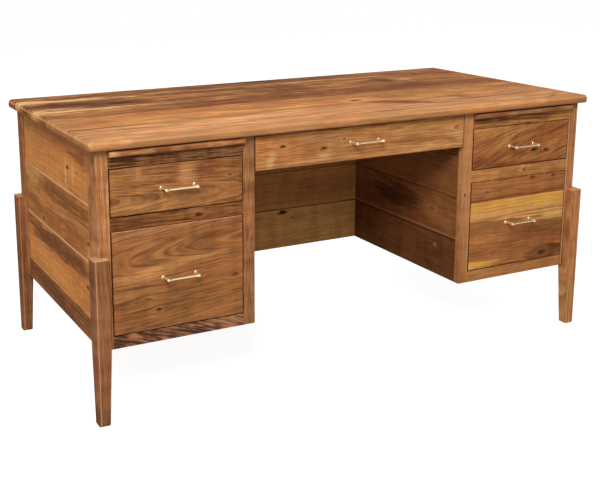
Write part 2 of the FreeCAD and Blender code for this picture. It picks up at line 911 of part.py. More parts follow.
def centre_drawer():
    return {
        "name": "centre_drawer",
        "front_x": "(drawer_gap - kneehole_width / 2)",
        "front_z": "centre_front_bottom",
        "front_width": "(kneehole_width - 2 * drawer_gap)",
        "front_height": "centre_front_height",
        "pull_height": "centre_pull_height",
        "box_x": "(slide_space - kneehole_width / 2)",
        "box_z": "(centre_front_bottom + centre_box_lift)",
        "box_width": "(kneehole_width - 2 * slide_space)",
        "box_height": "centre_box_height",
        "box_length": "centre_box_length",
        "walls": centre_walls(),
        "slide_centre": centre_slide_centre(),
        "slide_length": "centre_slide_length",
        "slide_step": 1,
    }


def make_drawer(drawer):
    make_front(drawer)
    make_box(drawer)
    make_floor(drawer)
    make_pull(drawer)
    make_drawer_members(drawer["name"] + "_slides", drawer["walls"], drawer["slide_centre"],
                        drawer["slide_length"], drawer["slide_step"])


def make_desk():
    make_top()
    make_legs()
    make_modesty_panel()
    for side in SIDES:
        for end in ("front", "back"):
            make_post(side, end)
        make_stile(side)
        make_rails(side)
        make_side_panel(side)
        make_side_rail(side)
        make_kneehole_panel(side)
        make_back_panel(side)
        make_pedestal_bottom(side)
        make_pullout_board(side)
        make_middle_members(side)
    make_battens()
    make_board_guides()
    make_cabinet_members()
    for side in SIDES:
        for level in ("upper", "lower"):
            make_drawer(pedestal_drawer(side, level))
    make_drawer(centre_drawer())


def check_document():
    """Stops before anything is written if an object failed or a piece isn't sound."""
    doc.recompute()
    for obj in doc.Objects:
        if "Invalid" in obj.State or "Error" in obj.State:
            raise RuntimeError(f"{obj.Label} failed: {obj.State}")
    for node in nodes:
        shape = node.Shape
        if shape.isNull() or not shape.isValid() or not shape.Solids:
            raise RuntimeError(f"{node.Label} has no sound solid")
        print(f"{node.Label}: {len(shape.Solids)} solids, {sum(s.Volume for s in shape.Solids):.0f} mm3")


def write_parts():
    os.makedirs("parts", exist_ok=True)
    for node in nodes:
        node.Shape.exportStep(os.path.join("parts", node.Label + ".step"))
    print(f"{len(nodes)} pieces written")


sizes = write_sheet("sizes", SIZES, str)
layout = write_sheet("layout", LAYOUT, lambda content: "=" + full(content).replace("layout.", ""))
doc.recompute()
make_desk()
check_document()
write_parts()
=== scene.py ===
import math

import bmesh
import bpy
from mathutils import Matrix, Vector


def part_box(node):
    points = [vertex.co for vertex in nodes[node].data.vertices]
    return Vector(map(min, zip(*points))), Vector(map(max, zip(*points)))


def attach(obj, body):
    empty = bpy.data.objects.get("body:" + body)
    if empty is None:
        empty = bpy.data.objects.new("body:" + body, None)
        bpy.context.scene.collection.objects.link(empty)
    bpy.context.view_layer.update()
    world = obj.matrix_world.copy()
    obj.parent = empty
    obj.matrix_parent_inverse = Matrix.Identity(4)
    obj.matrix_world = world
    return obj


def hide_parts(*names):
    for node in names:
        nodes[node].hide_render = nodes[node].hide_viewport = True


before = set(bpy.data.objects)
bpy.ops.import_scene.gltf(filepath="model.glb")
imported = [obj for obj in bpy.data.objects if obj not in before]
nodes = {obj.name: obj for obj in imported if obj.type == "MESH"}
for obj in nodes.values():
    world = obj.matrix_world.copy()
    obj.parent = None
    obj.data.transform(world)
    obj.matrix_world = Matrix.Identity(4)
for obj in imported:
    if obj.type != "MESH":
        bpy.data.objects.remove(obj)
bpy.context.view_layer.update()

mm = 0.001
print("frame loaded:", len(nodes), "nodes")


# The shader works in linear light, and the shades here are written as sRGB
def toLinear(hexColour):
    channels = [int(hexColour[start:start + 2], 16) / 255 for start in (1, 3, 5)]
    return [c / 12.92 if c <= 0.04045 else ((c + 0.055) / 1.055) ** 2.4 for c in channels] + [1]


# Map Range takes its value at 0, the range that it reads at 1 and 2 and the range that it gives at 3 and 4.
# Mix takes its factor at 0, two vectors at 4 and 5 and two colours at 6 and 7. stops fills a colour ramp.
def addNode(tree, kind, inputs=None, stops=(), **settings):
    node = tree.nodes.new("ShaderNode" + kind)
    for setting, choice in settings.items():
        setattr(node, setting, choice)
    for index, (position, colour) in enumerate(stops):
        elements = node.color_ramp.elements
        element = elements[index] if index < len(elements) else elements.new(position)
        element.position = position
        element.color = colour
    for socket, source in (inputs or {}).items():
        if isinstance(source, bpy.types.NodeSocket):
            tree.links.new(source, node.inputs[socket])
        else:
            node.inputs[socket].default_value = source
    return node


def newMaterial(name):
    material = bpy.data.materials.new(name)
    material.use_nodes = True
    material.node_tree.nodes.clear()
    return material, material.node_tree


# Walnut heartwood is a warm brown with darker streaks along the rings, and its sapwood is straw yellow.
# Hard maple and birch are cream with hardly any figure.
woodShades = {
    "deep": "#4A2B17",
    "umber": "#673D22",
    "brown": "#845230",
    "warm": "#9B653D",
    "tan": "#B27849",
    "honey": "#C48A52",
    "gold": "#CF965B",
    "straw": "#DB9C48",
    "amber": "#ECB052",
    "pale": "#DFAF7E",
    "wheat": "#E2AC68",
    "butter": "#EFBD7F",
    "copper": "#DE9654",
    "peach": "#D99C6A",
    "fawn": "#A67850",
    "rose": "#B27E59",
    "taupe": "#71492F",
    "russet": "#82462A",
    "plum": "#5C3122",
    "sepia": "#472216",
    "dusk": "#4C3129",
    "olive": "#875C32",
    "knot": "#2E160D",
    "biscuit": "#D3B284",
    "cream": "#E6CDA2",
    "birch": "#DDBF8F",
}

# What a look may change. Positions and lengths are in millimetres in the desk's frame: axes names the
# grain's way, the way across the board on its show face and the way into it, and face is where the show
# face lies on that last way. Shades are a dark and a light one, and the figure runs between them.
woodDefaults = {
    "axes": "xzy",
    "face": 0,
    "boards": [(0, "umber", "honey")],  # where it starts across, and its shades
    "heart": (0, 160),  # where the pith crosses the face, along and across
    "pithDepth": 0,  # how far behind the face it lies
    "lean": 0.0,  # slope of the pith to the face
    "turn": 0.0,  # slope of the grain on the face, in degrees
    "level": 0.0,  # how much lighter than the middle of its two shades
    "ringGap": 11,
    "ringDepth": 0.95,
    "cloud": 1.2,
    "streakWidth": 18,
    "streakLength": 430,
    "streak": 1.1,
    "fibreWidth": 3,
    "fibreLength": 70,
    "fibre": 2.7,
    "curl": 0.7,
    "wander": 9,
    "ripple": 2.4,
    "knots": [],  # along, across, radius, darkness
    "patches": [],  # along, across, half length, half width, turn, shade, strength
    "feather": 3.0,  # how raggedly the patches end
    "arrises": [],  # axis, place on it, half width, strength, shade; painted highlights and shade along edges, and glue lines
    "seed": 0,
    "roughness": 0.7,
    "gloss": 0.03,
}

# What all the wood shares. Repeats are per metre, along, across and into the board, and the edges of a
# knot or a patch are counted in its own radii, from where it starts to where it is full.
timber = {
    "pieceStep": 0.37,
    "boardStep": 0.29,
    "seedShift": (9.1, 5.3, 3.7),  # how far a whole seed moves the figure
    "throughBoard": 10,  # in metres, deeper than any piece
    "knotStretch": 1.9,  # its length for its width
    "knotPush": 1.3,  # how far it parts the grain
    "knotFade": -1.6,  # the power of the distance by which that dies away
    "knotRaggedScale": 0.7,
    "knotRagged": 1.8,
    "knotStart": 2.1,
    "knotFull": 1.2,
    "haloStart": 3.8,
    "haloFull": 2.4,
    "haloStrength": 0.3,
    "wanderRepeats": (2.2, 9, 9),
    "rippleRepeats": (13, 22, 22),
    "layerRoughness": 0.6,
    "ringDrift": 5.0,  # rings by which the clouds move the count
    "lateWood": [(0, 0), (0.6, 0.07), (0.84, 1), (0.92, 0.6), (1, 0)],  # darkness from ring to ring
    "ringMean": 0.09,  # how much the rings darken a board by and large
    "ringFaintest": 0.3,
    "ringHidden": 0.25,  # what shows of the rings where the tint hides them
    "hiddenTint": 0.35,
    "shownTint": 0.65,
    "tints": [(0.36, (1.06, 0.96, 0.92, 1)), (0.64, (0.98, 1.02, 0.98, 1))],
    "patchRepeats": (7, 70, 1),
    "patchStart": 1.3,
    "patchFull": 0.3,
    "patchDark": 0.72,
    "patchLight": 1.22,
    "arrisCore": 0.4,  # the share of its width that is painted at full strength
    "poreRepeats": (42, 900, 900),
    "poreStart": 0.6,
    "poreFull": 0.72,
    "poreDarkness": 0.45,
    "poreRoughness": 0.16,
    "poreBump": 0.35,
    "poreDepth": 0.00015,
}


# Walnut rubbed with an oil finish after sanding: a low satin sheen, pores slightly open. The maple and the
# birch are made here too, with less figure and the gloss of their lacquer in their looks.
def woodMaterial(name, **look):
    look = {**woodDefaults, **look}
    material, tree = newMaterial(name)
    objectSpace = addNode(tree, "TexCoord").outputs["Object"]
    split = addNode(tree, "SeparateXYZ", {0: objectSpace}).outputs
    along, across, inward = ("XYZ".index(axis.upper()) for axis in look["axes"])
    depth = addNode(tree, "Math", {0: split[inward], 1: look["face"] * mm}, operation="SUBTRACT").outputs[0]
    grain = addNode(tree, "CombineXYZ", {0: split[along], 1: split[across], 2: depth}).outputs[0]

    # One shade pair and one shift of the figure for each board that the piece is glued up from
    for index, (edge, darkShade, lightShade) in enumerate(look["boards"]):
        seed = (look["seed"] * timber["pieceStep"] + index * timber["boardStep"]) % 1
        ownDark, ownLight = toLinear(woodShades[darkShade]), toLinear(woodShades[lightShade])
        ownShift = [reach * seed for reach in timber["seedShift"]]
        if index == 0:
            dark, light, shift = ownDark, ownLight, ownShift
            continue
        beyond = addNode(tree, "Math", {0: split[across], 1: edge * mm}, operation="GREATER_THAN").outputs[0]
        dark = addNode(tree, "Mix", {0: beyond, 6: dark, 7: ownDark}, data_type="RGBA").outputs[2]
        light = addNode(tree, "Mix", {0: beyond, 6: light, 7: ownLight}, data_type="RGBA").outputs[2]
        shift = addNode(tree, "Mix", {0: beyond, 4: shift, 5: ownShift}, data_type="VECTOR").outputs[1]

    # The grain parts round each knot as water parts round a post
    flow = grain
    knotTone = None
    for knotAlong, knotAcross, radius, darkness in look["knots"]:
        fromKnot = addNode(tree, "Mapping", {
            "Vector": grain,
            "Location": (knotAlong * mm, knotAcross * mm, 0),
            "Scale": (radius * timber["knotStretch"] * mm, radius * mm, timber["throughBoard"]),
        }, vector_type="TEXTURE").outputs[0]
        reach = addNode(tree, "VectorMath", {0: fromKnot}, operation="LENGTH").outputs["Value"]
        clear = addNode(tree, "Math", {0: reach, 1: 1.0}, operation="MAXIMUM").outputs[0]
        push = addNode(tree, "Math", {0: clear, 1: timber["knotFade"]}, operation="POWER").outputs[0]
        sideways = addNode(tree, "VectorMath", {0: fromKnot, 1: (0, -radius * timber["knotPush"] * mm, 0)},
                           operation="MULTIPLY").outputs[0]
        pushed = addNode(tree, "VectorMath", {0: sideways, "Scale": push}, operation="SCALE").outputs[0]
        flow = addNode(tree, "VectorMath", {0: flow, 1: pushed}, operation="ADD").outputs[0]
        ragged = addNode(tree, "TexNoise", {"Vector": fromKnot, "Scale": timber["knotRaggedScale"],
                                            "Detail": 4}).outputs[0]
        edge = addNode(tree, "Math", {0: ragged, 1: timber["knotRagged"], 2: reach},
                       operation="MULTIPLY_ADD").outputs[0]
        tone = addNode(tree, "MapRange", {0: edge, 1: timber["knotStart"], 2: timber["knotFull"], 3: 0.0,
                                          4: darkness}, interpolation_type="SMOOTHSTEP").outputs[0]
        halo = addNode(tree, "MapRange", {0: edge, 1: timber["haloStart"], 2: timber["haloFull"], 3: 0.0,
                                          4: darkness * timber["haloStrength"]},
                       interpolation_type="SMOOTHSTEP").outputs[0]
        if knotTone is None:
            knotTone, knotHalo = tone, halo
        else:
            knotTone = addNode(tree, "Math", {0: knotTone, 1: tone}, operation="MAXIMUM").outputs[0]
            knotHalo = addNode(tree, "Math", {0: knotHalo, 1: halo}, operation="MAXIMUM").outputs[0]

    # Slow wander and short ripple of the grain, to either side by as many millimetres as the look gives,
    # then the distance from the pith, which gives the rings and the cathedrals
    for wave in ("wander", "ripple"):
        place = addNode(tree, "VectorMath", {0: flow, 1: timber[wave + "Repeats"]},
                        operation="MULTIPLY").outputs[0]
        place = addNode(tree, "VectorMath", {0: place, 1: shift}, operation="ADD").outputs[0]
        noise = addNode(tree, "TexNoise", {"Vector": place, "Scale": 1, "Detail": 2}).outputs["Color"]
        sway = addNode(tree, "VectorMath", {0: noise, 1: (0.5, 0.5, 0.5)}, operation="SUBTRACT").outputs[0]
        sway = addNode(tree, "VectorMath", {0: sway, "Scale": look[wave] * 2 * mm},
                       operation="SCALE").outputs[0]
        flow = addNode(tree, "VectorMath", {0: flow, 1: sway}, operation="ADD").outputs[0]
    heartAlong, heartAcross = look["heart"]
    fromHeart = addNode(tree, "Mapping", {
        "Vector": flow,
        "Location": (heartAlong * mm, heartAcross * mm, look["pithDepth"] * mm),
        "Rotation": (0, math.atan(look["lean"]), math.radians(look["turn"])),
    }, vector_type="TEXTURE").outputs[0]
    crossing = addNode(tree, "VectorMath", {0: fromHeart, 1: (0, 1, 1)}, operation="MULTIPLY").outputs[0]
    ringRadius = addNode(tree, "VectorMath", {0: crossing}, operation="LENGTH").outputs["Value"]
    lengthwise = addNode(tree, "SeparateXYZ", {0: fromHeart}).outputs[0]
    figure = addNode(tree, "CombineXYZ", {0: lengthwise, 1: ringRadius}).outputs[0]

    # Each layer is a noise with its repeats per metre along and across the grain. The tint is shifted the
    # other way, so that it doesn't follow the clouds.
    layers = {}
    for layer, source, repeats, detail in (
        ("cloud", figure, (1.3, 8, 1), 1.5),
        ("streak", figure, (1000 / look["streakLength"], 1000 / look["streakWidth"], 1), 4),
        ("fibre", figure, (1000 / look["fibreLength"], 1000 / look["fibreWidth"], 1), 2.5),
        ("curl", flow, (30, 7, 7), 1.5),
        ("tint", figure, (5, 17, 1), 2),
    ):
        sign = "SUBTRACT" if layer == "tint" else "ADD"
        place = addNode(tree, "VectorMath", {0: source, 1: repeats}, operation="MULTIPLY").outputs[0]
        place = addNode(tree, "VectorMath", {0: place, 1: shift}, operation=sign).outputs[0]
        layers[layer] = addNode(tree, "TexNoise", {"Vector": place, "Scale": 1, "Detail": detail,
                                                   "Roughness": timber["layerRoughness"]}).outputs[0]
    ringCount = addNode(tree, "Math", {0: layers["cloud"], 1: timber["ringDrift"], 2: layers["streak"]},
                        operation="MULTIPLY_ADD").outputs[0]
    ringCount = addNode(tree, "Math", {0: ringRadius, 1: 1000 / look["ringGap"], 2: ringCount},
                        operation="MULTIPLY_ADD").outputs[0]
    ringPhase = addNode(tree, "Math", {0: ringCount}, operation="FRACT").outputs[0]
    ringNumber = addNode(tree, "Math", {0: ringCount}, operation="FLOOR").outputs[0]
    ringStrength = addNode(tree, "TexWhiteNoise", {"W": ringNumber}, noise_dimensions="1D").outputs[0]
    lateWood = addNode(tree, "ValToRGB", {0: ringPhase}, stops=[
        (position, (grey, grey, grey, 1)) for position, grey in timber["lateWood"]
    ]).outputs[0]
    ringShow = addNode(tree, "MapRange", {0: layers["tint"], 1: timber["hiddenTint"], 2: timber["shownTint"],
                                          3: timber["ringHidden"], 4: 1.0}).outputs[0]
    ringStrength = addNode(tree, "MapRange", {0: ringStrength, 3: timber["ringFaintest"], 4: 1.0}).outputs[0]
    lateWood = addNode(tree, "Math", {0: lateWood, 1: ringShow}, operation="MULTIPLY").outputs[0]
    lateWood = addNode(tree, "Math", {0: lateWood, 1: ringStrength}, operation="MULTIPLY").outputs[0]
    middle = 0.5 + timber["ringMean"] * look["ringDepth"] + look["level"]
    tone = addNode(tree, "Math", {0: lateWood, 1: -look["ringDepth"], 2: middle},
                   operation="MULTIPLY_ADD").outputs[0]
    for layer in ("cloud", "streak", "fibre", "curl"):
        centred = addNode(tree, "Math", {0: layers[layer], 1: 0.5}, operation="SUBTRACT").outputs[0]
        tone = addNode(tree, "Math", {0: centred, 1: look[layer], 2: tone},
                       operation="MULTIPLY_ADD").outputs[0]
    tone = addNode(tree, "Math", {0: tone, 1: 0.0}, operation="ADD", use_clamp=True).outputs[0]
    colour = addNode(tree, "Mix", {0: tone, 6: dark, 7: light}, data_type="RGBA").outputs[2]
    tint = addNode(tree, "ValToRGB", {0: layers["tint"]}, stops=timber["tints"]).outputs[0]
    colour = addNode(tree, "Mix", {0: 1.0, 6: colour, 7: tint}, data_type="RGBA",
                     blend_type="MULTIPLY").outputs[2]

    # Sapwood, mineral streaks and clouds, feathered along the grain
    raggedPlace = addNode(tree, "VectorMath", {0: figure, 1: timber["patchRepeats"]},
                          operation="MULTIPLY").outputs[0]
    patchEdge = addNode(tree, "TexNoise", {"Vector": raggedPlace, "Scale": 1, "Detail": 4,
                                           "Roughness": 0.65}).outputs[0]
    fullAt, startAt = (look["feather"] / 2 + timber[edge] for edge in ("patchFull", "patchStart"))
    for patchAlong, patchAcross, halfLength, halfWidth, turn, shade, strength in look["patches"]:
        fromPatch = addNode(tree, "Mapping", {
            "Vector": flow,
            "Location": (patchAlong * mm, patchAcross * mm, 0),
            "Rotation": (0, 0, math.radians(turn)),
            "Scale": (halfLength * mm, halfWidth * mm, timber["throughBoard"]),
        }, vector_type="TEXTURE").outputs[0]
        reach = addNode(tree, "VectorMath", {0: fromPatch}, operation="LENGTH").outputs["Value"]
        reach = addNode(tree, "Math", {0: patchEdge, 1: look["feather"], 2: reach},
                        operation="MULTIPLY_ADD").outputs[0]
        mask = addNode(tree, "MapRange", {0: reach, 1: startAt, 2: fullAt, 3: 0.0, 4: strength},
                       interpolation_type="SMOOTHSTEP").outputs[0]
        channels = toLinear(woodShades[shade])[:3]
        shaded = addNode(tree, "Mix", {0: tone, 6: [c * timber["patchDark"] for c in channels] + [1],
                                       7: [min(1, c * timber["patchLight"]) for c in channels] + [1]},
                         data_type="RGBA").outputs[2]
        colour = addNode(tree, "Mix", {0: mask, 6: colour, 7: shaded}, data_type="RGBA").outputs[2]
    if knotTone is not None:
        colour = addNode(tree, "Mix", {0: knotHalo, 6: colour, 7: light}, data_type="RGBA").outputs[2]
        colour = addNode(tree, "Mix", {0: knotTone, 6: colour, 7: toLinear(woodShades["knot"])},
                         data_type="RGBA").outputs[2]

    # Lines along the seams and edges: pale ones are painted highlights where an arris catches the light;
    # dark ones are glue lines, darker end grain, and painted shade under the top's edge and in the gaps
    # round the drawer fronts
    for way, arris, halfWidth, strength, shade in look["arrises"]:
        reach = addNode(tree, "Math", {0: split["XYZ".index(way)], 1: arris * mm},
                        operation="SUBTRACT").outputs[0]
        reach = addNode(tree, "Math", {0: reach}, operation="ABSOLUTE").outputs[0]
        core = halfWidth * timber["arrisCore"]
        mask = addNode(tree, "MapRange", {0: reach, 1: halfWidth * mm, 2: core * mm, 3: 0.0,
                                          4: strength}).outputs[0]
        mask = addNode(tree, "Math", {0: mask, 1: layers["cloud"]}, operation="MULTIPLY").outputs[0]
        colour = addNode(tree, "Mix", {0: mask, 6: colour, 7: toLinear(woodShades[shade])},
                         data_type="RGBA").outputs[2]

    # Pores are a fifth of a millimetre wide; they are drawn wider here so that they show
    porePlace = addNode(tree, "VectorMath", {0: flow, 1: timber["poreRepeats"]},
                        operation="MULTIPLY").outputs[0]
    pore = addNode(tree, "TexNoise", {"Vector": porePlace, "Scale": 1, "Detail": 1}).outputs[0]
    pore = addNode(tree, "MapRange", {0: pore, 1: timber["poreStart"], 2: timber["poreFull"]}).outputs[0]
    poreShade = addNode(tree, "Mix", {0: timber["poreDarkness"], 6: colour, 7: dark},
                        data_type="RGBA").outputs[2]
    colour = addNode(tree, "Mix", {0: pore, 6: colour, 7: poreShade}, data_type="RGBA").outputs[2]
    roughness = addNode(tree, "MapRange", {0: pore, 3: look["roughness"],
                                           4: look["roughness"] + timber["poreRoughness"]}).outputs[0]
    relief = addNode(tree, "Math", {0: pore, 1: -1.0, 2: layers["fibre"]},
                     operation="MULTIPLY_ADD").outputs[0]
    bump = addNode(tree, "Bump", {"Height": relief, "Strength": timber["poreBump"],
                                  "Distance": timber["poreDepth"]}).outputs[0]
    shader = addNode(tree, "BsdfPrincipled", {
        "Base Color": colour,
        "Roughness": roughness,
        "Normal": bump,
        "IOR": 1.5,
        "Specular IOR Level": look["gloss"],
    })
    addNode(tree, "OutputMaterial", {"Surface": shader.outputs[0]})
    return material


